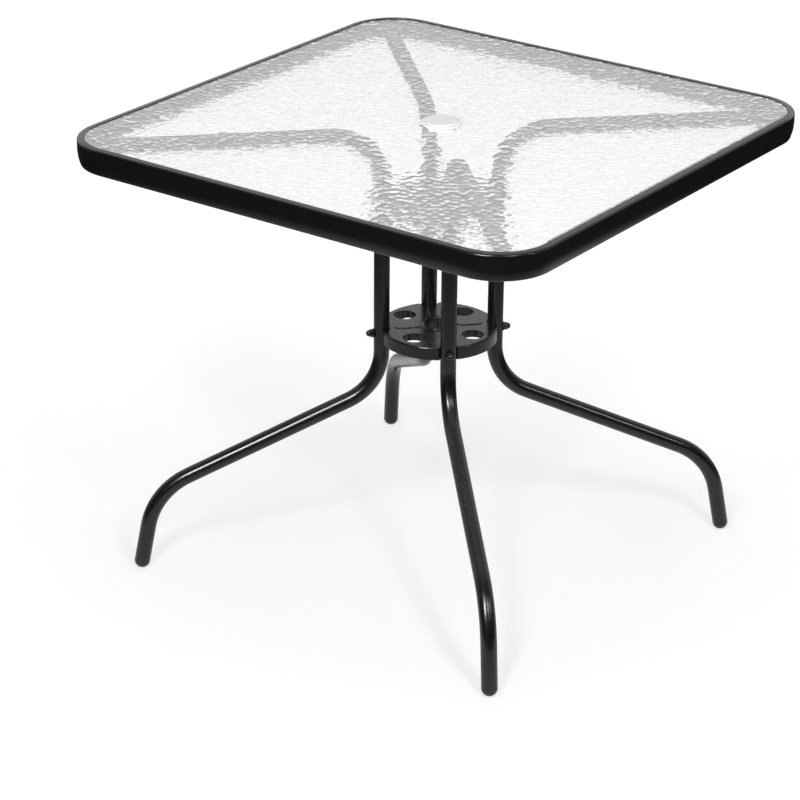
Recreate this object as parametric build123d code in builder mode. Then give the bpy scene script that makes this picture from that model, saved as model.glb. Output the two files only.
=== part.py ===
from build123d import *
from math import atan2, pi, sqrt, tan
import os

# Garden table, millimetres. The origin is on the floor under the table's centre, +Z is up,
# X and Y run along the sides, and the front is -Y. A reach is a distance from the vertical axis.

# Top frame: a rolled tube bent round the glass, with a ledge along each straight side
table_side = 800
table_height = 700
corner_radius = 84
frame_width = 11
frame_height = 44
inner_wall_height = 29
frame_wall = 1.5
lip_fall = 1
lip_round = 3.5
lip_edge_round = 0.6
skirt_start = 26
skirt_lean = 5.5
skirt_bend_radius = 60
skirt_round = 2
frame_inner_round = 1.5
ledge_width = 9
ledge_thickness = 1.5
ledge_end_inset = 20

# The frame's butt seam and the sleeve inside it
seam_offset = 33
seam_width = 0.5
seam_depth = 0.6
joiner_length = 80
joiner_wall = 1.5
joiner_gap = 0.2

# Glass, its seal strips, and the pads under it
glass_thickness = 5
glass_drop = 2
glass_edge_gap = 0.6
seal_thickness = 1
seal_width = 6
pad_reach = 320
pad_diameter = 14
pad_height = 0.5
pad_stem_diameter = 6
pad_stem_length = 6
pad_gap = 0.1

# Legs: one bent tube each, given by where its straight runs meet
tube_diameter = 24
tube_wall = 1.2
post_reach = 87
knee_height = 284
ankle_reach = 436
ankle_height = 127
foot_reach = 458
arm_bend_radius = 75
knee_bend_radius = 86
ankle_bend_radius = 110
arm_end_gap = 2

# Foot caps
foot_flat = 0.4
foot_stem_length = 20
foot_stem_gap = 0.2

# Corner spigots and the screws that hold the arms on them
spigot_length = 60
spigot_wall = 3
spigot_gap = 0.2
spigot_weld_gap = 0.1
corner_screw_inset = 35
corner_screw_length = 7
corner_screw_head_diameter = 11
corner_screw_head_height = 3.5
corner_screw_head_round = 1.2
corner_screw_socket_flats = 4
corner_screw_socket_depth = 2

# Pressed discs: each is a shallow pan turned upside down, notched for the posts
disc_edge_reach = 2
disc_height = 20
disc_sheet = 2
disc_edge_round = 2.5
notch_gap = 0.3
notch_round = 3.5
lower_disc_gap = 18
upper_disc_gap = 30
pole_hole_diameter = 40
neck_height = 2
neck_wall = 3
neck_round = 1.8
round_hole_diameter = 34
round_hole_margin = 9
collar_depth = 11.5
collar_wall = 2
rib_width = 15
rib_rise = 1.2
rib_margin = 5
rib_round = 0.8

# Bolts through the posts, with washers and cap nuts outside
bolt_diameter = 6
bolt_hole_gap = 0.4
thread_gap = 0.1
bolt_head_flats = 10
bolt_head_height = 4
bolt_thread_length = 7
bolt_drop = 8
washer_diameter = 14
washer_thickness = 1.2
nut_flats = 11
nut_hex_height = 5
nut_dome_diameter = 10
nut_dome_height = 5.6
nut_bore_spare = 1

# Ring and cap in the glass's centre hole
ring_pole_gap = 1
ring_wall = 1.6
ring_glass_gap = 0.4
ring_overlap = 7.5
ring_thickness = 2.5
ring_sleeve_length = 6
ring_round = 1.2
cap_overlap = 4.5
cap_thickness = 2.5
cap_skirt_gap = 0.3
cap_skirt_length = 9
cap_wall = 1.6
cap_round = 1.2

# Heights and reaches worked out from the sizes above
half_side = table_side / 2
tube_radius = tube_diameter / 2
tube_bore = tube_radius - tube_wall
glass_top = table_height - glass_drop
glass_bottom = glass_top - glass_thickness
ledge_top = glass_bottom - seal_thickness
arm_height = glass_bottom - pad_height - tube_radius
corner_centre = half_side - corner_radius
corner_wall_radius = corner_radius - frame_width
corner_wall_reach = corner_centre * sqrt(2) + corner_wall_radius
arm_end_reach = corner_wall_reach - arm_end_gap
corner_screw_reach = arm_end_reach - corner_screw_inset
ledge_length = table_side - 2 * (corner_radius + ledge_end_inset)
glass_side = table_side - 2 * (frame_width + glass_edge_gap)
foot_dome_height = tube_radius - foot_flat
leg_slope = atan2(knee_height - ankle_height, ankle_reach - post_reach)
knee_bend_top = knee_height + knee_bend_radius * tan((pi / 2 - leg_slope) / 2)
disc_radius = post_reach + disc_edge_reach
neck_radius = pole_hole_diameter / 2 + neck_wall
round_hole_reach = disc_radius - round_hole_margin - round_hole_diameter / 2
notch_reach = post_reach - tube_radius - notch_gap
disc_tops = {
    "lower": knee_bend_top + lower_disc_gap + disc_height,
    "upper": arm_height - arm_bend_radius - upper_disc_gap,
}
bolt_hole_radius = (bolt_diameter + bolt_hole_gap) / 2
thread_hole_radius = (bolt_diameter + thread_gap) / 2
bolt_head_reach = notch_reach - disc_sheet
washer_reach = post_reach + tube_radius
nut_reach = washer_reach + washer_thickness
ring_bore = pole_hole_diameter + ring_pole_gap
ring_sleeve_radius = ring_bore / 2 + ring_wall
glass_hole_radius = ring_sleeve_radius + ring_glass_gap
ring_top = glass_top + ring_thickness

leg_angles = {"front_left": 225, "front_right": 315, "back_right": 45, "back_left": 135}

os.makedirs("parts", exist_ok=True)


def outward(angle):
    """Level direction from the axis to one leg."""
    return Vector(1, 0, 0).rotate(Axis.Z, angle)


def leg_plane(angle):
    """Upright plane of one leg: local x is the reach from the axis and local y is the height."""
    return Plane(origin=(0, 0, 0), x_dir=outward(angle), z_dir=outward(angle - 90))


def radial_plane(angle, reach, height):
    """Upright plane across a leg's diagonal, facing outwards."""
    place = outward(angle) * reach + Vector(0, 0, height)
    return Plane(origin=place, x_dir=outward(angle + 90), z_dir=outward(angle))


def level_plane(angle, reach, height):
    """Level plane on a leg's diagonal, facing up."""
    place = outward(angle) * reach + Vector(0, 0, height)
    return Plane(origin=place, x_dir=outward(angle), z_dir=(0, 0, 1))


# Frame section, on the +X side: a lip that falls outwards, a deep skirt that curves in and a shorter inner wall
with BuildSketch(Plane.XZ) as frame_section:
    with BuildLine():
        FilletPolyline(
            (half_side - skirt_lean, table_height - frame_height),
            (half_side, table_height - skirt_start),
            (half_side, table_height - lip_fall),
            (half_side - frame_width, table_height),
            (half_side - frame_width, table_height - inner_wall_height),
            radius=[skirt_round, skirt_bend_radius, lip_round, lip_edge_round, frame_inner_round],
            close=True,
        )
    make_face()

# Top frame: the hollow tube swept round the outline, four ledges, and the groove of the butt seam
with BuildPart() as top_frame:
    with BuildLine() as frame_outline:
        FilletPolyline(
            (half_side, 0),
            (half_side, half_side),
            (-half_side, half_side),
            (-half_side, -half_side),
            (half_side, -half_side),
            radius=[0] + [corner_radius] * 4,
            close=True,
        )
    with BuildSketch(Plane.XZ):
        add(frame_section.sketch_local)
        offset(amount=-frame_wall, mode=Mode.SUBTRACT)
    sweep(path=frame_outline.wires()[0])
    ledge_middle = half_side - frame_width - (ledge_width - frame_wall) / 2
    with BuildSketch(Plane.XY.offset(ledge_top)):
        with PolarLocations(ledge_middle, 4):
            Rectangle(ledge_width + frame_wall, ledge_length)
    extrude(amount=-ledge_thickness)
    with BuildSketch(Plane.XZ.offset(seam_offset - seam_width / 2)):
        add(frame_section.sketch_local)
        offset(amount=-seam_depth, mode=Mode.SUBTRACT)
    extrude(amount=seam_width, mode=Mode.SUBTRACT)
top_frame.part.label = "top_frame"
export_step(top_frame.part, "parts/top_frame.step")

# Frame joiner: the sleeve inside the tube, half on each side of the butt seam
with BuildPart() as frame_joiner:
    with BuildSketch(Plane.XZ.offset(seam_offset - joiner_length / 2)):
        add(frame_section.sketch_local)
        offset(amount=-(frame_wall + joiner_gap), mode=Mode.REPLACE)
        offset(amount=-joiner_wall, mode=Mode.SUBTRACT)
    extrude(amount=joiner_length)
frame_joiner.part.label = "frame_joiner"
export_step(frame_joiner.part, "parts/frame_joiner.step")

# Glass top: a square pane with round corners and the hole for the ring
with BuildPart() as glass_pane:
    with BuildSketch(Plane.XY.offset(glass_bottom)):
        RectangleRounded(glass_side, glass_side, corner_wall_radius - glass_edge_gap)
        Circle(glass_hole_radius, mode=Mode.SUBTRACT)
    extrude(amount=glass_thickness)
glass_pane.part.label = "glass_top"
export_step(glass_pane.part, "parts/glass_top.step")

# Seal strips: one on each ledge, under the edge of the glass
with BuildPart() as glass_seals:
    with BuildSketch(Plane.XY.offset(ledge_top)):
        with PolarLocations((glass_side - seal_width) / 2, 4):
            Rectangle(seal_width, ledge_length)
    extrude(amount=seal_thickness)
glass_seals.part.label = "glass_seals"
export_step(glass_seals.part, "parts/glass_seals.step")

# Glass pads: one on each arm, hollowed to sit on the tube, with a stem in the tube's upper wall
pad_drop = tube_radius - sqrt(tube_radius**2 - (pad_diameter / 2) ** 2)
with BuildPart() as glass_pads:
    for angle in leg_angles.values():
        with BuildSketch(level_plane(angle, pad_reach, glass_bottom)):
            Circle(pad_diameter / 2)
        extrude(amount=-(pad_height + pad_drop))
        with Locations(radial_plane(angle, pad_reach, arm_height)):
            Cylinder(tube_radius + pad_gap, 2 * pad_diameter, mode=Mode.SUBTRACT)
        with BuildSketch(level_plane(angle, pad_reach, glass_bottom)):
            Circle(pad_stem_diameter / 2)
        extrude(amount=-(pad_height + pad_stem_length))
glass_pads.part.label = "glass_pads"
export_step(glass_pads.part, "parts/glass_pads.step")

# Legs: an arm under the glass, a post through both discs, a slope and a leaning foot in one bent tube
for name, angle in leg_angles.items():
    with BuildPart() as leg:
        with BuildLine(leg_plane(angle)) as centre_line:
            FilletPolyline(
                (arm_end_reach, arm_height),
                (post_reach, arm_height),
                (post_reach, knee_height),
                (ankle_reach, ankle_height),
                (foot_reach, foot_dome_height),
                radius=[arm_bend_radius, knee_bend_radius, ankle_bend_radius],
            )
        with BuildSketch(radial_plane(angle, arm_end_reach, arm_height)):
            Circle(tube_radius)
            Circle(tube_bore, mode=Mode.SUBTRACT)
        sweep(path=centre_line.wires()[0])
        for disc_top in disc_tops.values():
            with Locations(radial_plane(angle, post_reach + tube_diameter, disc_top - bolt_drop)):
                Hole(bolt_hole_radius, depth=2 * tube_diameter)
        with Locations(level_plane(angle, pad_reach, arm_height + tube_diameter)):
            Hole(pad_stem_diameter / 2 + pad_gap, depth=tube_diameter)
        with Locations(level_plane(angle, corner_screw_reach, arm_height)):
            Hole(bolt_hole_radius, depth=tube_diameter)
    leg.part.label = "leg_" + name
    export_step(leg.part, "parts/leg_" + name + ".step")

# Foot caps: a half ball as wide as the tube, flattened where it stands, with a stem inside the tube
for name, angle in leg_angles.items():
    with BuildPart() as foot_cap:
        foot_run = outward(angle) * (foot_reach - ankle_reach) + Vector(0, 0, foot_dome_height - ankle_height)
        tube_end = Plane(
            origin=outward(angle) * foot_reach + Vector(0, 0, foot_dome_height),
            x_dir=outward(angle + 90),
            z_dir=foot_run,
        )
        with Locations(tube_end):
            Sphere(tube_radius)
        split(bisect_by=tube_end, keep=Keep.TOP)
        with BuildSketch(tube_end):
            Circle(tube_bore - foot_stem_gap)
        extrude(amount=-foot_stem_length)
        split(bisect_by=Plane.XY, keep=Keep.TOP)
    foot_cap.part.label = "foot_cap_" + name
    export_step(foot_cap.part, "parts/foot_cap_" + name + ".step")

# Corner spigots: a stub of thick tube welded to the frame's inner corner, inside the arm's open end
for name, angle in leg_angles.items():
    with BuildPart() as spigot:
        with BuildSketch(radial_plane(angle, corner_wall_reach, arm_height)):
            Circle(tube_bore - spigot_gap)
            Circle(tube_bore - spigot_gap - spigot_wall, mode=Mode.SUBTRACT)
        extrude(amount=-spigot_length)
        with Locations(level_plane(angle, corner_centre * sqrt(2), arm_height)):
            Cylinder(corner_wall_radius - spigot_weld_gap, 2 * tube_diameter, mode=Mode.INTERSECT)
        with Locations(level_plane(angle, corner_screw_reach, arm_height)):
            Hole(thread_hole_radius, depth=tube_diameter)
    spigot.part.label = "corner_spigot_" + name
    export_step(spigot.part, "parts/corner_spigot_" + name + ".step")

# Corner screws: one up through each arm's lower wall into its spigot, with a socket in the head
with BuildPart() as corner_screws:
    for angle in leg_angles.values():
        arm_underside = level_plane(angle, corner_screw_reach, arm_height - tube_radius)
        with BuildSketch(arm_underside):
            Circle(corner_screw_head_diameter / 2)
        extrude(amount=-corner_screw_head_height)
        with BuildSketch(arm_underside):
            Circle(bolt_diameter / 2)
        extrude(amount=corner_screw_length)
    head_bottoms = corner_screws.edges().group_by(Axis.Z)[0]
    fillet(head_bottoms, radius=corner_screw_head_round)
    for angle in leg_angles.values():
        head_bottom = arm_height - tube_radius - corner_screw_head_height
        with BuildSketch(level_plane(angle, corner_screw_reach, head_bottom)):
            RegularPolygon(corner_screw_socket_flats / 2, 6, major_radius=False)
        extrude(amount=corner_screw_socket_depth, mode=Mode.SUBTRACT)
corner_screws.part.label = "corner_screws"
export_step(corner_screws.part, "parts/corner_screws.step")


def disc_outline(inset):
    """Plan of a disc, set in from its edge by one amount: a circle with a notch for each post."""
    with BuildSketch() as outline:
        Circle(disc_radius - inset)
        with PolarLocations(post_reach, 4, start_angle=45):
            Circle(tube_radius + notch_gap + inset, mode=Mode.SUBTRACT)
        notch_corners = outline.vertices().filter_by(lambda corner: abs(corner.Y) > tube_radius)
        fillet(notch_corners, radius=notch_round - inset)
    return outline.sketch


# Discs: a rimmed pan with post notches, a necked pole hole, collared round holes and ribs to the posts
disc_shape = disc_outline(0)
pan_shape = disc_outline(disc_sheet)
rib_start = neck_radius + rib_margin
rib_end = notch_reach - disc_edge_round - rib_margin
for name, disc_top in disc_tops.items():
    with BuildPart() as disc:
        with BuildSketch(Plane.XY.offset(disc_top - disc_height)):
            add(disc_shape)
        extrude(amount=disc_height)
        fillet(disc.faces().sort_by(Axis.Z)[-1].edges(), radius=disc_edge_round)
        with BuildSketch(Plane.XY.offset(disc_top - disc_height)):
            add(pan_shape)
        extrude(amount=disc_height - disc_sheet, mode=Mode.SUBTRACT)
        with BuildSketch(Plane.XY.offset(disc_top)):
            with PolarLocations((rib_start + rib_end) / 2, 4, start_angle=45):
                SlotOverall(rib_end - rib_start, rib_width)
        extrude(amount=rib_rise)
        fillet(disc.faces().sort_by(Axis.Z)[-4:].edges(), radius=rib_round)
        with BuildSketch(Plane.XY.offset(disc_top - disc_sheet)):
            with PolarLocations((rib_start + rib_end) / 2, 4, start_angle=45):
                SlotOverall(rib_end - rib_start - disc_sheet, rib_width - disc_sheet)
        extrude(amount=rib_rise, mode=Mode.SUBTRACT)
        with BuildSketch(Plane.XY.offset(disc_top)):
            Circle(neck_radius)
        extrude(amount=neck_height)
        neck_rounds = disc.edges(Select.LAST).filter_by(GeomType.CIRCLE).sort_by(Axis.Z)
        fillet(neck_rounds[0], radius=neck_round)
        with Locations((0, 0, disc_top + neck_height)):
            Hole(pole_hole_diameter / 2)
        with BuildSketch(Plane.XY.offset(disc_top - disc_sheet)):
            with PolarLocations(round_hole_reach, 4):
                Circle(round_hole_diameter / 2 + collar_wall)
        extrude(amount=-(collar_depth - disc_sheet))
        with Locations((0, 0, disc_top)):
            with PolarLocations(round_hole_reach, 4):
                Hole(round_hole_diameter / 2)
        for angle in leg_angles.values():
            with Locations(radial_plane(angle, post_reach, disc_top - bolt_drop)):
                Hole(bolt_hole_radius, depth=post_reach - bolt_head_reach + disc_sheet)
    disc.part.label = name + "_disc"
    export_step(disc.part, "parts/" + name + "_disc.step")

# Bolts, washers and cap nuts: one of each where a post passes a disc, along the post's diagonal
for name, disc_top in disc_tops.items():
    bolt_height = disc_top - bolt_drop
    with BuildPart() as bolts:
        for angle in leg_angles.values():
            head_seat = radial_plane(angle, bolt_head_reach, bolt_height)
            with BuildSketch(head_seat):
                RegularPolygon(bolt_head_flats / 2, 6, major_radius=False)
            extrude(amount=-bolt_head_height)
            with BuildSketch(head_seat):
                Circle(bolt_diameter / 2)
            extrude(amount=nut_reach + bolt_thread_length - bolt_head_reach)
    bolts.part.label = name + "_bolts"
    export_step(bolts.part, "parts/" + name + "_bolts.step")

    with BuildPart() as washers:
        for angle in leg_angles.values():
            with BuildSketch(radial_plane(angle, washer_reach, bolt_height)):
                Circle(washer_diameter / 2)
                Circle(bolt_hole_radius, mode=Mode.SUBTRACT)
            extrude(amount=washer_thickness)
    washers.part.label = name + "_washers"
    export_step(washers.part, "parts/" + name + "_washers.step")

    with BuildPart() as cap_nuts:
        for angle in leg_angles.values():
            with BuildSketch(radial_plane(angle, nut_reach, bolt_height)):
                RegularPolygon(nut_flats / 2, 6, major_radius=False)
            extrude(amount=nut_hex_height)
            dome_start = nut_reach + nut_hex_height
            ball_middle = dome_start + nut_dome_height - nut_dome_diameter / 2
            with BuildSketch(radial_plane(angle, dome_start, bolt_height)):
                Circle(nut_dome_diameter / 2)
            extrude(amount=nut_dome_height - nut_dome_diameter / 2)
            with Locations(radial_plane(angle, ball_middle, bolt_height)):
                Sphere(nut_dome_diameter / 2)
            bore_end = nut_reach + bolt_thread_length + nut_bore_spare
            with BuildSketch(radial_plane(angle, nut_reach, bolt_height)):
                Circle(thread_hole_radius)
            extrude(amount=bore_end - nut_reach, mode=Mode.SUBTRACT)
    cap_nuts.part.label = name + "_cap_nuts"
    export_step(cap_nuts.part, "parts/" + name + "_cap_nuts.step")

# Hole ring: a flange on the glass with a sleeve down through it
with BuildPart() as hole_ring:
    with BuildSketch(Plane.XY.offset(glass_top)):
        Circle(glass_hole_radius + ring_overlap)
    extrude(amount=ring_thickness)
    fillet(hole_ring.edges().group_by(Axis.Z)[-1], radius=ring_round)
    with BuildSketch(Plane.XY.offset(glass_top)):
        Circle(ring_sleeve_radius)
    extrude(amount=-(glass_thickness + ring_sleeve_length))
    with Locations((0, 0, ring_top)):
        Hole(ring_bore / 2)
hole_ring.part.label = "hole_ring"
export_step(hole_ring.part, "parts/hole_ring.step")

# Hole cap: a round lid on the ring, with a hollow skirt that hangs in the ring's bore
with BuildPart() as hole_cap:
    with BuildSketch(Plane.XY.offset(ring_top)):
        Circle(ring_bore / 2 + cap_overlap)
    extrude(amount=cap_thickness)
    fillet(hole_cap.edges().group_by(Axis.Z)[-1], radius=cap_round)
    with BuildSketch(Plane.XY.offset(ring_top)):
        Circle(ring_bore / 2 - cap_skirt_gap)
        Circle(ring_bore / 2 - cap_skirt_gap - cap_wall, mode=Mode.SUBTRACT)
    extrude(amount=-cap_skirt_length)
hole_cap.part.label = "hole_cap"
export_step(hole_cap.part, "parts/hole_cap.step")
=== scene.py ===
import math

import bmesh
import bpy
from mathutils import Matrix, Vector


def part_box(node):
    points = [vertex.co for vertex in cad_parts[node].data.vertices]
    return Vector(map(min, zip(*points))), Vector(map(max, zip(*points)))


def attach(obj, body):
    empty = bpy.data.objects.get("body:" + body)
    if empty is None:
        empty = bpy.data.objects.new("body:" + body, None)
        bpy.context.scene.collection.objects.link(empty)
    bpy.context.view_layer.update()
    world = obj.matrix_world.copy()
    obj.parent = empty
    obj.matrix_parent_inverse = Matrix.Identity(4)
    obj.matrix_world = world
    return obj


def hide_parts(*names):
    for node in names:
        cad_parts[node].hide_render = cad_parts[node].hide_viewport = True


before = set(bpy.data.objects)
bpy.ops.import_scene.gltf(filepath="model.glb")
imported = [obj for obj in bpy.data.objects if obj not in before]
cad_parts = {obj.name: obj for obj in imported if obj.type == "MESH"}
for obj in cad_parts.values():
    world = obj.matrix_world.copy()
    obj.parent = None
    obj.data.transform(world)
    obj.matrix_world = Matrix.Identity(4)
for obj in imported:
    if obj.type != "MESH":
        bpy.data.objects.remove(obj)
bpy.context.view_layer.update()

# Legs
# Four bent steel tubes, each an arm, a post, a slope and a foot in one piece.
# They are powder coated in satin black: smooth, with a faint orange peel left by the oven.
# The arms are pushed on spigots in the corners of the top frame, and the posts are bolted to the discs.
corners = ("front_left", "front_right", "back_right", "back_left")
coat_dark = (0.006, 0.006, 0.006)
coat_light = (0.0085, 0.0085, 0.0086)
coat_gloss = 0.24
coat_peel_depth = 0.00002


def fill(tree, node, inputs):
    """A node's inputs, each linked to another socket or set to a plain value."""
    for name, value in inputs.items():
        if isinstance(value, bpy.types.NodeSocket):
            tree.links.new(value, node.inputs[name])
        else:
            node.inputs[name].default_value = value


def add_node(tree, kind, inputs=None, **settings):
    """One node of a material or a geometry tree, with its properties and its inputs set."""
    node = tree.nodes.new(kind)
    for name, value in settings.items():
        setattr(node, name, value)
    fill(tree, node, inputs or {})
    return node


def new_material(name):
    """An empty material with its shader, its output and its object coordinates."""
    material = bpy.data.materials.new(name)
    material.use_nodes = True
    tree = material.node_tree
    tree.nodes.clear()
    shader = add_node(tree, "ShaderNodeBsdfPrincipled")
    add_node(tree, "ShaderNodeOutputMaterial", {"Surface": shader.outputs["BSDF"]})
    place = add_node(tree, "ShaderNodeTexCoord").outputs["Object"]
    return material, tree, shader, place


def noise(tree, place, per_metre, detail=2.0, rough=0.5):
    """A noise value over the surface, with this many lumps to the metre."""
    lumps = {"Vector": place, "Scale": per_metre, "Detail": detail, "Roughness": rough}
    return add_node(tree, "ShaderNodeTexNoise", lumps).outputs["Fac"]


def spread(tree, value, low, high, start=0.3, stop=0.7):
    """A value that goes from low to high while another one goes from start to stop."""
    ranges = {"Value": value, "From Min": start, "From Max": stop, "To Min": low, "To Max": high}
    return add_node(tree, "ShaderNodeMapRange", ranges).outputs["Result"]


def shades(tree, value, first, second):
    """A colour between two, by a value from 0 to 1."""
    colours = {"Factor": value, "A": first, "B": second}
    return add_node(tree, "ShaderNodeMix", colours, data_type="RGBA").outputs["Result"]


def clouded(tree, clouds, dark, light):
    """Two close colours, one in the thick and one in the thin of the clouds."""
    return shades(tree, spread(tree, clouds, low=0, high=1), (*dark, 1), (*light, 1))


def relief(tree, height, depth):
    """A bump of this depth in metres."""
    return add_node(tree, "ShaderNodeBump", {"Height": height, "Distance": depth}).outputs["Normal"]


def powder_coat(name, dark, light, gloss):
    """Black powder coat: two close blacks in soft clouds, uneven gloss and a fine orange peel."""
    material, tree, shader, place = new_material(name)
    patches = noise(tree, place, per_metre=140, detail=3)
    peel = noise(tree, place, per_metre=1100)
    fill(tree, shader, {
        "Base Color": clouded(tree, noise(tree, place, per_metre=60, detail=4), dark, light),
        "Roughness": spread(tree, patches, low=gloss - 0.03, high=gloss + 0.04),
        "Normal": relief(tree, peel, coat_peel_depth),
        "IOR": 1.45,
    })
    return material


def dress(node_name, material):
    """A node of the frame, in its finish."""
    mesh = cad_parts[node_name].data
    mesh.materials.clear()
    mesh.materials.append(material)


coat_black = powder_coat("coat_black", coat_dark, coat_light, coat_gloss)
for corner in corners:
    dress("leg_" + corner, coat_black)

# Foot caps
# Domed plugs of black polyethylene, pushed into the open ends of the tubes.
# The mould leaves a fine grain, and the plastic is less shiny than the coat.
foot_dark = (0.010, 0.010, 0.010)
foot_light = (0.016, 0.016, 0.016)
foot_gloss = 0.42
foot_grain = 0.00004


def moulded_plastic(name, dark, light, gloss, grain):
    """Moulded plastic or rubber: a slightly clouded colour and a fine even grain of this depth."""
    material, tree, shader, place = new_material(name)
    fine = noise(tree, place, per_metre=1600, rough=0.6)
    fill(tree, shader, {
        "Base Color": clouded(tree, noise(tree, place, per_metre=90, detail=3), dark, light),
        "Roughness": spread(tree, fine, low=gloss - 0.05, high=gloss + 0.05),
        "Normal": relief(tree, fine, grain),
        "IOR": 1.46,
    })
    return material


cap_black = moulded_plastic("cap_black", foot_dark, foot_light, foot_gloss, foot_grain)
for corner in corners:
    dress("foot_cap_" + corner, cap_black)

# Pressed discs
# Two round pans of pressed steel sheet, upside down, each with a rim that is notched for the four posts.
# They hold the posts apart, are bolted to them through the rim, and have the same coat.
levels = ("lower", "upper")
for level in levels:
    dress(level + "_disc", coat_black)

# Sleeves under the discs
# A short steel sleeve hangs under the middle hole of each disc and makes the hole a longer guide.
# It is drawn from the disc's own sheet and coated with it.
sleeve_radius = 0.020
sleeve_wall = 0.0018
sleeve_length = 0.016
sleeve_round = 0.0006
sleeve_steps = 96
sleeve_crease = math.radians(40)
neck_and_sheet = 0.004  # from the top of a disc's neck to the underside of its sheet


def turned(name, profile, steps, tops, crease):
    """A closed profile of reach and drop, turned round the upright axis, once below each height."""
    points, faces = [], []
    count = len(profile)
    for top in tops:
        start = len(points)
        for step in range(steps):
            angle = 2 * math.pi * step / steps
            for reach, drop in profile:
                points.append((reach * math.cos(angle), reach * math.sin(angle), top - drop))
        for step in range(steps):
            here = start + step * count
            there = start + (step + 1) % steps * count
            for first in range(count):
                second = (first + 1) % count
                faces.append((here + first, there + first, there + second, here + second))
    mesh = bpy.data.meshes.new(name)
    mesh.from_pydata(points, [], faces)
    mesh.set_sharp_from_angle(angle=crease)
    piece = bpy.data.objects.new(name, mesh)
    bpy.context.scene.collection.objects.link(piece)
    return piece


def face_outwards(piece):
    """Turn every face of a closed piece outwards."""
    work = bmesh.new()
    work.from_mesh(piece.data)
    bmesh.ops.recalc_face_normals(work, faces=work.faces)
    work.to_mesh(piece.data)
    work.free()


sleeve_reach = sleeve_radius + sleeve_wall
sleeve_profile = [
    (sleeve_radius, 0),
    (sleeve_reach, 0),
    (sleeve_reach, sleeve_length - sleeve_round),
    (sleeve_reach - sleeve_round, sleeve_length),
    (sleeve_radius + sleeve_round, sleeve_length),
    (sleeve_radius, sleeve_length - sleeve_round),
]
sheet_undersides = [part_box(level + "_disc")[1][2] - neck_and_sheet for level in levels]
pole_sleeves = turned("pole_sleeves", sleeve_profile, sleeve_steps, sheet_undersides, sleeve_crease)
face_outwards(pole_sleeves)
pole_sleeves.data.materials.append(coat_black)
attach(pole_sleeves, "table")

# Bolts, washers and cap nuts
# A zinc plated bolt goes through each post, with its head in the pan.
# Outside are a black steel washer and a cap nut, which is a chamfered hexagon with a ball end.
# One nut faces outwards from each leg at each disc.
nut_flats = 0.011
nut_hex_height = 0.005
nut_chamfer_reach = 0.0053
nut_dome_radius = 0.005
nut_length = 0.0106
nut_reach = 0.1002
nut_leg_turn = math.radians(45)
nut_crease = math.radians(28)
nut_dark = (0.005, 0.005, 0.005)
nut_light = (0.010, 0.010, 0.010)
nut_gloss = 0.22
zinc_dark = (0.50, 0.51, 0.52)
zinc_light = (0.62, 0.63, 0.64)
zinc_gloss = 0.34


def worn_metal(name, dark, light, gloss):
    """Bare or plated metal: clouded, with uneven gloss and a fine tooth."""
    material, tree, shader, place = new_material(name)
    clouds = noise(tree, place, per_metre=120, detail=4)
    tooth = noise(tree, place, per_metre=1500)
    fill(tree, shader, {
        "Base Color": clouded(tree, clouds, dark, light),
        "Roughness": spread(tree, clouds, low=gloss - 0.06, high=gloss + 0.06),
        "Normal": relief(tree, tooth, depth=0.00002),
        "Metallic": 1.0,
    })
    return material


def new_tree(name, inputs):
    """A geometry tree with these named inputs and one geometry output."""
    tree = bpy.data.node_groups.new(name, "GeometryNodeTree")
    for kind, titles in inputs.items():
        for title in titles:
            tree.interface.new_socket(title, in_out="INPUT", socket_type="NodeSocket" + kind)
    tree.interface.new_socket("Geometry", in_out="OUTPUT", socket_type="NodeSocketGeometry")
    return tree, add_node(tree, "NodeGroupInput").outputs


def calc(tree, operation, *values):
    """The result of a sum in a tree, from one or two sockets or numbers."""
    return add_node(tree, "ShaderNodeMath", dict(enumerate(values)), operation=operation).outputs[0]


def point_at(tree, **parts):
    """A place in a tree from its X, Y and Z; one that isn't given is 0."""
    return add_node(tree, "ShaderNodeCombineXYZ", parts).outputs[0]


def made_by(tree, name, values):
    """A plain mesh object from a geometry tree, with its inputs set by their identifiers."""
    mesh = bpy.data.meshes.new(name + "_start")
    maker = bpy.data.objects.new(name + "_maker", mesh)
    bpy.context.scene.collection.objects.link(maker)
    modifier = maker.modifiers.new("make", "NODES")
    modifier.node_group = tree
    for item in tree.interface.items_tree:
        if item.item_type == "SOCKET" and item.in_out == "INPUT":
            modifier[item.identifier] = values[item.name]
    bpy.context.view_layer.update()
    done = maker.evaluated_get(bpy.context.evaluated_depsgraph_get())
    made = bpy.data.meshes.new_from_object(done)
    bpy.data.objects.remove(maker)
    made.name = name
    piece = bpy.data.objects.new(name, made)
    bpy.context.scene.collection.objects.link(piece)
    return piece


nut_tree, nut_ask = new_tree("nut_tree", {
    "Float": ("Flats", "Hex Height", "Chamfer Reach", "Dome Radius", "Length", "Reach",
              "Turn", "Lower Height", "Upper Height"),
    "Int": ("Legs",),
    "Material": ("Paint",),
})


def placed(tree, geometry, up, turn=0.0):
    """A geometry turned about the upright axis and moved up."""
    moves = {"Geometry": geometry, "Translation": point_at(tree, Z=up), "Rotation": point_at(tree, Z=turn)}
    return add_node(tree, "GeometryNodeTransform", moves).outputs[0]


def joined(tree, operation, *geometries):
    """Two meshes as one, by their union or by what they share."""
    node = add_node(tree, "GeometryNodeMeshBoolean", operation=operation, solver="EXACT")
    for geometry in geometries:
        tree.links.new(geometry, node.inputs["Mesh 2"])
    return node.outputs[0]


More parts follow.
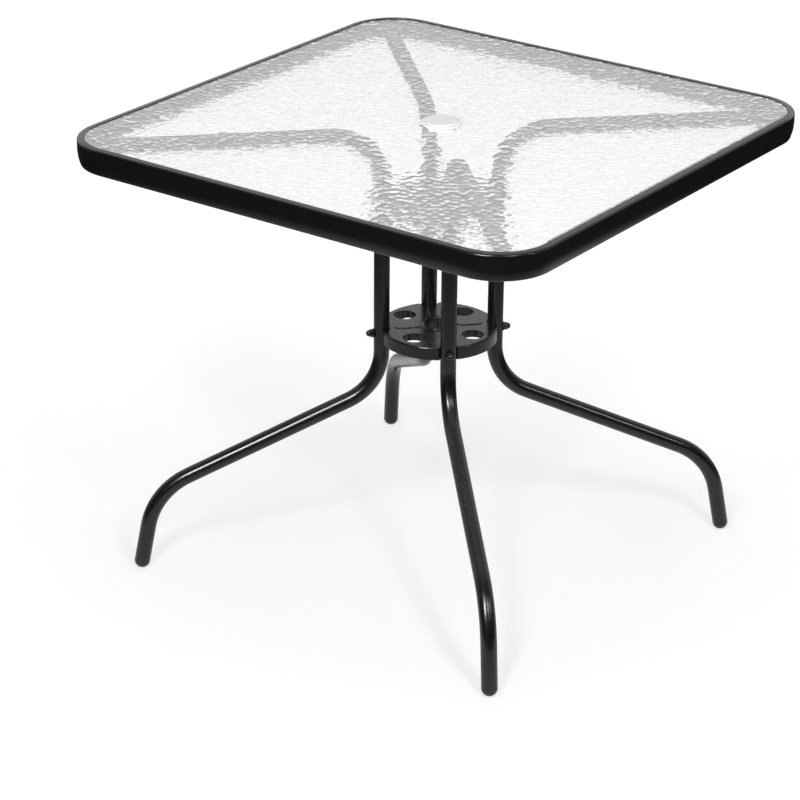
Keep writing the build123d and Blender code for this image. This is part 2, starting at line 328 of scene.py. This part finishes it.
# The hexagon, and the cone that cuts its outer corners and goes a share of its height past both ends
hexagon_sides = 6
cone_sides = 48
cone_past = 0.2
cone_slope = math.sqrt(3)
hex_height = nut_ask["Hex Height"]
hexagon = add_node(nut_tree, "GeometryNodeMeshCylinder", {
    "Vertices": hexagon_sides,
    "Radius": calc(nut_tree, "DIVIDE", nut_ask["Flats"], math.sqrt(3)),
    "Depth": hex_height,
})
hexagon_up = placed(nut_tree, hexagon.outputs["Mesh"], calc(nut_tree, "MULTIPLY", hex_height, 0.5))
cone_above = calc(nut_tree, "MULTIPLY", hex_height, cone_past * cone_slope)
cone_below = calc(nut_tree, "MULTIPLY", hex_height, (1 + cone_past) * cone_slope)
cone = add_node(nut_tree, "GeometryNodeMeshCone", {
    "Vertices": cone_sides,
    "Radius Top": calc(nut_tree, "SUBTRACT", nut_ask["Chamfer Reach"], cone_above),
    "Radius Bottom": calc(nut_tree, "ADD", nut_ask["Chamfer Reach"], cone_below),
    "Depth": calc(nut_tree, "MULTIPLY", hex_height, 1 + 2 * cone_past),
})
cone_down = placed(nut_tree, cone.outputs["Mesh"], calc(nut_tree, "MULTIPLY", hex_height, -cone_past))

# The ball that ends the nut
ball = add_node(nut_tree, "GeometryNodeMeshUVSphere", {
    "Segments": 32,
    "Rings": 16,
    "Radius": nut_ask["Dome Radius"],
})
ball_height = calc(nut_tree, "SUBTRACT", nut_ask["Length"], nut_ask["Dome Radius"])
ball_up = placed(nut_tree, ball.outputs["Mesh"], ball_height)
one_nut = joined(nut_tree, "UNION", joined(nut_tree, "INTERSECT", hexagon_up, cone_down), ball_up)

# One nut on each leg's diagonal at both heights, its axis turned outwards
ring_of_legs = add_node(nut_tree, "GeometryNodeMeshCircle", {
    "Vertices": nut_ask["Legs"],
    "Radius": nut_ask["Reach"],
})
both_rings = add_node(nut_tree, "GeometryNodeJoinGeometry")
for title in ("Lower Height", "Upper Height"):
    ring_up = placed(nut_tree, ring_of_legs.outputs["Mesh"], nut_ask[title], nut_ask["Turn"])
    nut_tree.links.new(ring_up, both_rings.inputs[0])
nut_spot = add_node(nut_tree, "GeometryNodeInputPosition").outputs[0]
level_only = (1, 1, 0)
level_way = add_node(nut_tree, "ShaderNodeVectorMath", {0: nut_spot, 1: level_only}, operation="MULTIPLY")
outwards = add_node(nut_tree, "FunctionNodeAlignRotationToVector", {
    "Vector": level_way.outputs[0],
}, axis="Z")
all_nuts = add_node(nut_tree, "GeometryNodeInstanceOnPoints", {
    "Points": both_rings.outputs[0],
    "Instance": one_nut,
    "Rotation": outwards.outputs[0],
})
smooth_nuts = add_node(nut_tree, "GeometryNodeSetShadeSmooth", {"Geometry": all_nuts.outputs[0]})
real_nuts = add_node(nut_tree, "GeometryNodeRealizeInstances", {"Geometry": smooth_nuts.outputs[0]})
painted_nuts = add_node(nut_tree, "GeometryNodeSetMaterial", {
    "Geometry": real_nuts.outputs[0],
    "Material": nut_ask["Paint"],
})
add_node(nut_tree, "NodeGroupOutput", {0: painted_nuts.outputs[0]})


def middle_height(node_name):
    """Height of the middle of a node's box."""
    low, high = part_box(node_name)
    return (low[2] + high[2]) / 2


nut_black = powder_coat("nut_black", nut_dark, nut_light, nut_gloss)
zinc_plate = worn_metal("zinc_plate", zinc_dark, zinc_light, zinc_gloss)
for level in levels:
    dress(level + "_bolts", zinc_plate)
    dress(level + "_washers", nut_black)
cap_nuts = made_by(nut_tree, "cap_nuts", {
    "Flats": nut_flats,
    "Hex Height": nut_hex_height,
    "Chamfer Reach": nut_chamfer_reach,
    "Dome Radius": nut_dome_radius,
    "Length": nut_length,
    "Reach": nut_reach,
    "Turn": nut_leg_turn,
    "Lower Height": middle_height("lower_cap_nuts"),
    "Upper Height": middle_height("upper_cap_nuts"),
    "Legs": len(corners),
    "Paint": nut_black,
})
cap_nuts.data.set_sharp_from_angle(angle=nut_crease)
face_outwards(cap_nuts)
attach(cap_nuts, "table")
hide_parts("lower_cap_nuts", "upper_cap_nuts")

# Top frame
# A rolled steel tube bent round the glass and butted over a sleeve, powder coated like the legs.
# The sleeve and the four corner spigots are bare steel inside the tubes.
# Black screws from below hold the arms on the spigots.
steel_dark = (0.36, 0.36, 0.37)
steel_light = (0.46, 0.46, 0.47)
steel_gloss = 0.42
bare_steel = worn_metal("bare_steel", steel_dark, steel_light, steel_gloss)
dress("top_frame", coat_black)
dress("frame_joiner", bare_steel)
for corner in corners:
    dress("corner_spigot_" + corner, bare_steel)
dress("corner_screws", nut_black)

# Seals and pads
# Strips of black rubber on the frame's ledges, and a rubber pad with its stem pushed into each arm.
# The glass lies on them, so that it doesn't touch the steel.
rubber_dark = (0.012, 0.012, 0.012)
rubber_light = (0.02, 0.02, 0.02)
rubber_gloss = 0.6
rubber_grain = 0.00005
rubber = moulded_plastic("rubber", rubber_dark, rubber_light, rubber_gloss, rubber_grain)
dress("glass_seals", rubber)
dress("glass_pads", rubber)

# Glass top
# A pane of tempered ripple glass, smooth on top and rolled into shallow waves underneath.
# It lies loose on the seals and pads, and its edge is ground.
pane_low, pane_high = (Vector(corner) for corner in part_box("glass_top"))
pane_side = pane_high.x - pane_low.x
pane_corner_radius = 0.0724
pane_hole_radius = 0.0225
pane_cells = 308
ripple_depth = 0.0006
ripple_length = 0.0115
ripple_uneven = 0.75
ripple_seed = 4.0
seed_slant = 1.7
glass_tint = (0.965, 0.975, 0.97, 1)
glass_shadow = (0.93, 0.95, 0.94, 1)
glass_peel_depth = 0.00004
# Painted reflection: each dome is hazed whiter on the side that faces this way, and clearer on the other
# side.
painted_glint_side = (0.586, -0.81, 0)
haze_all_over = 0.1


def ripple_glass():
    """Clear glass with a thin white haze and a painted reflection: the haze is heavier on one side of each
    dome and lighter on the other, for glints and dark lines. Lamps shine through it.
    """
    material, tree, shader, place = new_material("ripple_glass")
    seed_shift = (ripple_seed, seed_slant * ripple_seed, 0)
    moved = add_node(tree, "ShaderNodeVectorMath", {0: place, 1: seed_shift}, operation="ADD").outputs[0]
    cells = {"Vector": moved, "Scale": 1 / ripple_length, "Randomness": ripple_uneven}
    domes = add_node(tree, "ShaderNodeTexVoronoi", cells, feature="F1", voronoi_dimensions="2D")
    from_middle = add_node(
        tree, "ShaderNodeVectorMath", {0: moved, 1: domes.outputs["Position"]}, operation="SUBTRACT")
    way = [part / ripple_length for part in painted_glint_side]
    lean = add_node(
        tree, "ShaderNodeVectorMath", {0: from_middle.outputs[0], 1: way}, operation="DOT_PRODUCT")
    side = lean.outputs["Value"]
    patchy = spread(tree, noise(tree, place, per_metre=60, detail=3), low=0.15, high=1)
    # Painted glints and dark lines: more white haze on one side of each dome, less on the other.
    painted_glints = spread(tree, side, low=0, high=0.6, start=0.2, stop=0.44)
    painted_dark_lines = spread(tree, side, low=0.09, high=0, start=-0.36, stop=-0.1)
    haze_and_glints = calc(tree, "ADD", calc(tree, "MULTIPLY", painted_glints, patchy), haze_all_over)
    haze_glints_and_dark_lines = calc(tree, "SUBTRACT", haze_and_glints, calc(tree, "MULTIPLY", painted_dark_lines, patchy))
    peel = noise(tree, place, per_metre=210, rough=0.45)
    smears = noise(tree, place, per_metre=25, detail=3)
    fill(tree, shader, {
        "Base Color": glass_tint,
        "IOR": 1.5,
        "Transmission Weight": calc(tree, "SUBTRACT", 1.0, haze_glints_and_dark_lines),
        "Normal": relief(tree, peel, glass_peel_depth),
        "Roughness": spread(tree, smears, low=0.0, high=0.05),
    })
    clear = add_node(tree, "ShaderNodeBsdfTransparent", {"Color": glass_shadow})
    shadow_ray = add_node(tree, "ShaderNodeLightPath").outputs["Is Shadow Ray"]
    mix = add_node(tree, "ShaderNodeMixShader", {
        "Fac": shadow_ray,
        1: shader.outputs["BSDF"],
        2: clear.outputs["BSDF"],
    })
    output = next(node for node in tree.nodes if node.type == "OUTPUT_MATERIAL")
    fill(tree, output, {"Surface": mix.outputs["Shader"]})
    return material


pane_tree, pane_ask = new_tree("pane_tree", {
    "Float": ("Side", "Corner Radius", "Hole Radius", "Bottom", "Top",
              "Ripple Depth", "Ripple Length", "Seed"),
    "Int": ("Cells",),
    "Material": ("Glass",),
})


def pane_node(kind, inputs=None, **settings):
    """One node of the pane's tree."""
    return add_node(pane_tree, kind, inputs, **settings)


def pane_calc(operation, *values):
    """The result of a sum in the pane's tree."""
    return calc(pane_tree, operation, *values)


def length_of(across, along):
    """Length of a line that goes this far across and this far along."""
    squares = pane_calc("ADD", pane_calc("MULTIPLY", across, across), pane_calc("MULTIPLY", along, along))
    return pane_calc("SQRT", squares)


# A square sheet of cells, and the points that lie outside its round corners or inside its hole
above_zero = 1e-6
grid = pane_node("GeometryNodeMeshGrid", {
    "Size X": pane_ask["Side"],
    "Size Y": pane_ask["Side"],
    "Vertices X": pane_ask["Cells"],
    "Vertices Y": pane_ask["Cells"],
})
spot = pane_node("GeometryNodeInputPosition").outputs[0]
spot_parts = pane_node("ShaderNodeSeparateXYZ", {0: spot})
spot_across = spot_parts.outputs["X"]
spot_along = spot_parts.outputs["Y"]
arc_radius = pane_ask["Corner Radius"]
corner_middle = pane_calc("SUBTRACT", pane_calc("MULTIPLY", pane_ask["Side"], 0.5), arc_radius)


def past_middle(coordinate):
    """How far a point lies past the middle of its corner's arc, or 0."""
    past = pane_calc("SUBTRACT", pane_calc("ABSOLUTE", coordinate), corner_middle)
    return pane_calc("MAXIMUM", past, 0.0)


past_across = past_middle(spot_across)
past_along = past_middle(spot_along)
corner_reach = length_of(past_across, past_along)
in_corner = pane_calc("GREATER_THAN", pane_calc("MULTIPLY", past_across, past_along), 0.0)
past_arc = pane_calc("MULTIPLY", in_corner, pane_calc("GREATER_THAN", corner_reach, arc_radius))
to_arc = pane_calc("DIVIDE", arc_radius, pane_calc("MAXIMUM", corner_reach, above_zero))
hole_radius = pane_ask["Hole Radius"]
hole_reach = length_of(spot_across, spot_along)
in_hole = pane_calc("LESS_THAN", hole_reach, hole_radius)
to_hole = pane_calc("DIVIDE", hole_radius, pane_calc("MAXIMUM", hole_reach, above_zero))


def pulled(coordinate, past):
    """A coordinate of a point outside the sheet, pulled to the hole's edge or to the corner's arc."""
    on_arc = pane_calc("ADD", corner_middle, pane_calc("MULTIPLY", past, to_arc))
    return pane_node("GeometryNodeSwitch", {
        "Switch": in_hole,
        "False": pane_calc("MULTIPLY", on_arc, pane_calc("SIGN", coordinate)),
        "True": pane_calc("MULTIPLY", coordinate, to_hole),
    }, input_type="FLOAT").outputs[0]


# Faces wholly outside are cut away, and the outer points of the others are pulled to the edge and welded
weld_gap = 0.00002
keep = pane_node("GeometryNodeCaptureAttribute", {"Geometry": grid.outputs["Mesh"]}, domain="POINT")
keep.capture_items.new("BOOLEAN", "outside")
fill(pane_tree, keep, {"outside": pane_calc("MAXIMUM", past_arc, in_hole)})
trim = pane_node("GeometryNodeDeleteGeometry", {
    "Geometry": keep.outputs["Geometry"],
    "Selection": keep.outputs["outside"],
}, domain="FACE", mode="ALL")
pull = pane_node("GeometryNodeSetPosition", {
    "Geometry": trim.outputs[0],
    "Selection": keep.outputs["outside"],
    "Position": point_at(pane_tree, X=pulled(spot_across, past_across), Y=pulled(spot_along, past_along)),
})
weld = pane_node("GeometryNodeMergeByDistance", {"Geometry": pull.outputs[0], "Distance": weld_gap})

# The waves: shallow domes that meet in creases, on a slower swell, pressed up from below
dome_power = 2.0
swell_scale = 0.6
swell_height = 0.12
seed_along = pane_calc("MULTIPLY", pane_ask["Seed"], seed_slant)
seed_shift = point_at(pane_tree, X=pane_ask["Seed"], Y=seed_along)
shifted = pane_node("ShaderNodeVectorMath", {0: spot, 1: seed_shift}, operation="ADD").outputs[0]
domes_per_metre = pane_calc("DIVIDE", 1.0, pane_ask["Ripple Length"])
domes = pane_node("ShaderNodeTexVoronoi", {
    "Vector": shifted,
    "Scale": domes_per_metre,
    "Randomness": ripple_uneven,
}, feature="F1", voronoi_dimensions="2D")
swell = pane_node("ShaderNodeTexNoise", {
    "Vector": shifted,
    "Scale": pane_calc("MULTIPLY", domes_per_metre, swell_scale),
    "Detail": 1.0,
}, noise_dimensions="2D")
dome_rise = pane_calc("POWER", domes.outputs["Distance"], dome_power)
wave_rise = pane_calc("ADD", dome_rise, pane_calc("MULTIPLY", swell.outputs["Fac"], swell_height))
wave_height = pane_calc("MULTIPLY", wave_rise, pane_ask["Ripple Depth"])
press = pane_node("GeometryNodeSetPosition", {
    "Geometry": weld.outputs[0],
    "Offset": point_at(pane_tree, Z=pane_calc("ADD", wave_height, pane_ask["Bottom"])),
})
smooth_under = pane_node("GeometryNodeSetShadeSmooth", {"Geometry": press.outputs[0]})

# The ground edge, raised from the sheet's open border, and the flat top face inside it
edge_start = 0.001
close_gap = 0.00001
faces_at_edge = pane_node("GeometryNodeInputMeshEdgeNeighbors").outputs[0]
border = pane_node("FunctionNodeCompare", {2: faces_at_edge, 3: 1}, data_type="INT", operation="EQUAL")
rise = pane_node("GeometryNodeExtrudeMesh", {
    "Mesh": smooth_under.outputs[0],
    "Selection": border.outputs[0],
    "Offset": (0, 0, 1),
    "Offset Scale": edge_start,
}, mode="EDGES")
level_edge = pane_node("GeometryNodeSetPosition", {
    "Geometry": rise.outputs["Mesh"],
    "Selection": rise.outputs["Top"],
    "Position": point_at(pane_tree, X=spot_across, Y=spot_along, Z=pane_ask["Top"]),
})
brim = pane_node("GeometryNodeMeshToCurve", {
    "Mesh": level_edge.outputs[0],
    "Selection": rise.outputs["Top"],
})
top_face = pane_node("GeometryNodeFillCurve", {"Curve": brim.outputs[0]})
whole = pane_node("GeometryNodeJoinGeometry")
for part in (level_edge.outputs[0], placed(pane_tree, top_face.outputs[0], pane_ask["Top"])):
    pane_tree.links.new(part, whole.inputs[0])
closed = pane_node("GeometryNodeMergeByDistance", {"Geometry": whole.outputs[0], "Distance": close_gap})
real_pane = pane_node("GeometryNodeRealizeInstances", {"Geometry": closed.outputs[0]})
glazed = pane_node("GeometryNodeSetMaterial", {
    "Geometry": real_pane.outputs[0],
    "Material": pane_ask["Glass"],
})
pane_node("NodeGroupOutput", {0: glazed.outputs[0]})

pane = made_by(pane_tree, "glass_pane", {
    "Side": pane_side,
    "Corner Radius": pane_corner_radius,
    "Hole Radius": pane_hole_radius,
    "Bottom": pane_low.z,
    "Top": pane_high.z,
    "Ripple Depth": ripple_depth,
    "Ripple Length": ripple_length,
    "Seed": ripple_seed,
    "Cells": pane_cells,
    "Glass": ripple_glass(),
})
face_outwards(pane)
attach(pane, "table")
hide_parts("glass_top")

# Hole ring and cap
# A flanged ring in the glass and the lid that covers it, moulded in milky white plastic.
# The ring rests on the glass with its sleeve through the hole, and the lid's skirt hangs in its bore.
milky_dark = (0.93, 0.94, 0.94)
milky_light = (0.97, 0.975, 0.975)
milky_gloss = 0.35
milky_grain = 0.00002
milky_plastic = moulded_plastic("milky_plastic", milky_dark, milky_light, milky_gloss, milky_grain)
dress("hole_ring", milky_plastic)
dress("hole_cap", milky_plastic)

# Floor
# A plain white studio floor that takes the table's soft shadow, deepened by painted shade: it glows less
# near the table.
# It is painted board that glows a little to the camera and through the glass.
# In reflections it is a painted reflection: white near the table and dark farther off, as the tubes and
# the frame show it.
floor_reach = 12.0
floor_dark = (0.44, 0.44, 0.44, 1)
floor_light = (0.45, 0.45, 0.45, 1)
floor_painted_dark = (0.01, 0.01, 0.01, 1)
floor_glow_colour = (1, 1, 1, 1)
floor_behind_glass = 0.86
floor_mesh = bpy.data.meshes.new("floor")
floor_signs = ((-1, -1), (1, -1), (1, 1), (-1, 1))
floor_mesh.from_pydata([(x * floor_reach, y * floor_reach, 0) for x, y in floor_signs], [], [(0, 1, 2, 3)])
floor = bpy.data.objects.new("floor", floor_mesh)
bpy.context.scene.collection.objects.link(floor)
floor_white, floor_tree, floor_shader, floor_place = new_material("floor_white")
clouds = noise(floor_tree, floor_place, per_metre=6, detail=3)
floor_paint = shades(floor_tree, clouds, floor_dark, floor_light)
floor_line = add_node(floor_tree, "ShaderNodeVectorMath", {0: floor_place}, operation="LENGTH")
from_table = floor_line.outputs["Value"]
# Painted reflection: to glossy rays the floor is white near the table and near black farther off.
mirrored_white = spread(floor_tree, from_table, low=1.0, high=0.02, start=0.72, stop=1.25)
# Painted shade: the floor's glow is weaker near the table, so a soft shade lies round and under it and the
# far floor stays white.
glow_with_painted_shade = spread(floor_tree, from_table, low=0.61, high=0.86, start=0.35, stop=1.5)
floor_rays = add_node(floor_tree, "ShaderNodeLightPath").outputs
seen = calc(floor_tree, "MAXIMUM", floor_rays["Is Camera Ray"], floor_rays["Is Transmission Ray"])
mirrored = calc(floor_tree, "MULTIPLY", floor_rays["Is Glossy Ray"], mirrored_white)
open_glow = calc(floor_tree, "MULTIPLY", calc(floor_tree, "MAXIMUM", seen, mirrored), glow_with_painted_shade)
glass_glow = calc(floor_tree, "MULTIPLY", floor_rays["Is Transmission Ray"], floor_behind_glass)
mirrored_dark = calc(floor_tree, "SUBTRACT", 1.0, mirrored_white)
painted_dark_share = calc(floor_tree, "MULTIPLY", floor_rays["Is Glossy Ray"], mirrored_dark)
fill(floor_tree, floor_shader, {
    "Base Color": shades(floor_tree, painted_dark_share, floor_paint, floor_painted_dark),
    "Roughness": 0.9,
    "Specular IOR Level": 0.0,
    "Emission Color": floor_glow_colour,
    "Emission Strength": calc(floor_tree, "MAXIMUM", open_glow, glass_glow),
})
floor_mesh.materials.append(floor_white)

# Studio
# A white room: bright to the camera and through the glass, and a plain soft light on everything else.
# Its back wall shows in reflections too. Two softboxes light the table from the front.
# Two narrow strips shine on glossy faces only, and draw the streaks on the tubes.
room_white = (1, 1, 1, 1)
room_fill = 0.35
back_way = (-0.586, 0.810, 0)
world = bpy.data.worlds.new("studio")
world.use_nodes = True
bpy.context.scene.world = world
world_tree = world.node_tree
outlook = add_node(world_tree, "ShaderNodeTexCoord").outputs["Generated"]
to_back = add_node(world_tree, "ShaderNodeVectorMath", {0: outlook, 1: back_way}, operation="DOT_PRODUCT")
back_white = spread(world_tree, to_back.outputs["Value"], low=0.03, high=1.0, start=-0.1, stop=0.6)
world_rays = add_node(world_tree, "ShaderNodeLightPath").outputs
world_seen = calc(world_tree, "MAXIMUM", world_rays["Is Camera Ray"], world_rays["Is Transmission Ray"])
world_fill = calc(world_tree, "MULTIPLY", world_rays["Is Diffuse Ray"], room_fill)
world_shine = calc(world_tree, "MULTIPLY", world_rays["Is Glossy Ray"], back_white)
world_light = calc(world_tree, "MAXIMUM", calc(world_tree, "MAXIMUM", world_seen, world_fill), world_shine)
world_back = next(node for node in world_tree.nodes if node.type == "BACKGROUND")
fill(world_tree, world_back, {"Color": room_white, "Strength": world_light})

# Light that is caught between the faces of the glass may bounce there longer than usual
light_paths = bpy.context.scene.cycles
light_paths.max_bounces = 24
light_paths.glossy_bounces = 12
light_paths.transmission_bounces = 24

studio_middle = Vector((0, 0, 0.4))


def softbox(name, azimuth, elevation, distance, width, height, watts, fills=True):
    """A rectangular lamp that faces the table, by its bearing from the front and its rise in degrees.

    One that doesn't fill only shines on glossy faces.
    """
    bearing = math.radians(azimuth)
    rise_angle = math.radians(elevation)
    level_part = math.cos(rise_angle)
    way = Vector((math.sin(bearing) * level_part, -math.cos(bearing) * level_part, math.sin(rise_angle)))
    lamp = bpy.data.lights.new(name, "AREA")
    lamp.shape = "RECTANGLE"
    lamp.size = width
    lamp.size_y = height
    lamp.energy = watts
    holder = bpy.data.objects.new(name, lamp)
    bpy.context.scene.collection.objects.link(holder)
    holder.location = way * distance + studio_middle
    holder.rotation_euler = (-way).to_track_quat("-Z", "Y").to_euler()
    holder.visible_diffuse = fills
    holder.visible_transmission = fills


softbox("softbox_left", azimuth=17, elevation=42, distance=3.6, width=0.45, height=0.85, watts=38)
softbox("softbox_right", azimuth=60, elevation=40, distance=3.6, width=0.45, height=0.85, watts=38)
softbox("strip_left", azimuth=8, elevation=34, distance=3.5, width=0.4, height=0.9, watts=95, fills=False)
softbox("strip_side", azimuth=97, elevation=30, distance=3.6, width=0.3, height=0.7, watts=18, fills=False)

# Camera
# It stands at the front right, above the table, and looks down on it through a long lens.
# Its angles are in radians: turned from the front, tipped down and slightly rolled.
camera_place = (2.2258, -3.1744, 2.0296)
camera_yaw = -0.6263
camera_pitch = 0.430
camera_roll = 0.0078
camera_lens = 125.55
camera_sensor = 36
look = Vector((
    math.sin(camera_yaw) * math.cos(camera_pitch),
    math.cos(camera_yaw) * math.cos(camera_pitch),
    -math.sin(camera_pitch),
))
level_right = Vector((math.cos(camera_yaw), -math.sin(camera_yaw), 0))
level_up = level_right.cross(look)
right = level_right * math.cos(camera_roll) + level_up * math.sin(camera_roll)
up = level_up * math.cos(camera_roll) - level_right * math.sin(camera_roll)
camera_data = bpy.data.cameras.new("camera")
camera_data.sensor_width = camera_sensor
camera_data.lens = camera_lens
camera = bpy.data.objects.new("camera", camera_data)
bpy.context.scene.collection.objects.link(camera)
camera_turn = Matrix((right, up, -look)).transposed().to_4x4()
camera.matrix_world = Matrix.Translation(camera_place) @ camera_turn
bpy.context.scene.camera = camera
bpy.context.scene.view_settings.view_transform = "Standard"
